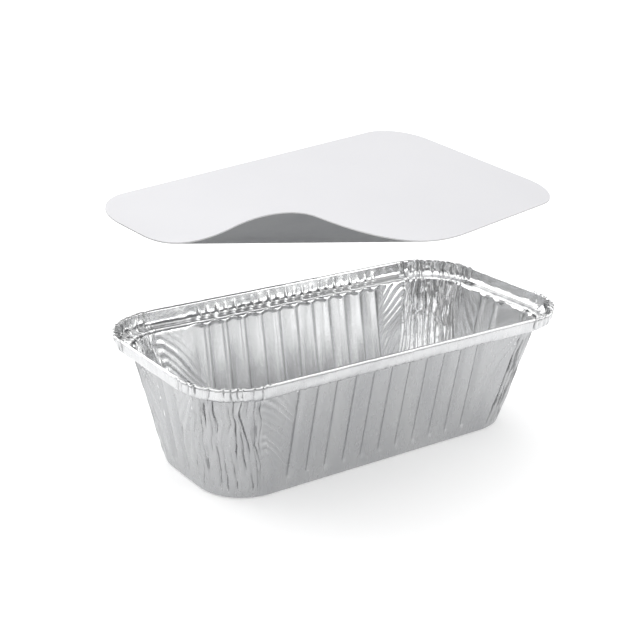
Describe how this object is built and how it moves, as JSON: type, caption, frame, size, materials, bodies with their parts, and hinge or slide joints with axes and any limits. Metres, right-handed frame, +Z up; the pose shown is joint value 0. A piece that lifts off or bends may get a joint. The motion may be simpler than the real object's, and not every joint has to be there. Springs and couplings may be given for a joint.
{
  "type": "foil food container",
  "caption": "Loaf-shaped aluminium foil food tray with grooved walls, pleated corners and an upright folded rim, and its flat board lid held off above it, one corner curled up.",
  "frame": {"origin": "middle of the tray's flat base, on the surface that it stands on", "axes": "+X along the tray's length, +Y across it, +Z up out of its mouth"},
  "size_m": [0.2442, 0.1554, 0.1543],
  "materials": {
    "foil": "bright pressed foil",
    "board": "smooth white, foil-faced underneath"
  },
  "bodies": {
    "root": {"foil_tray": "foil", "card_lid": "board"}
  },
  "joints": []
}
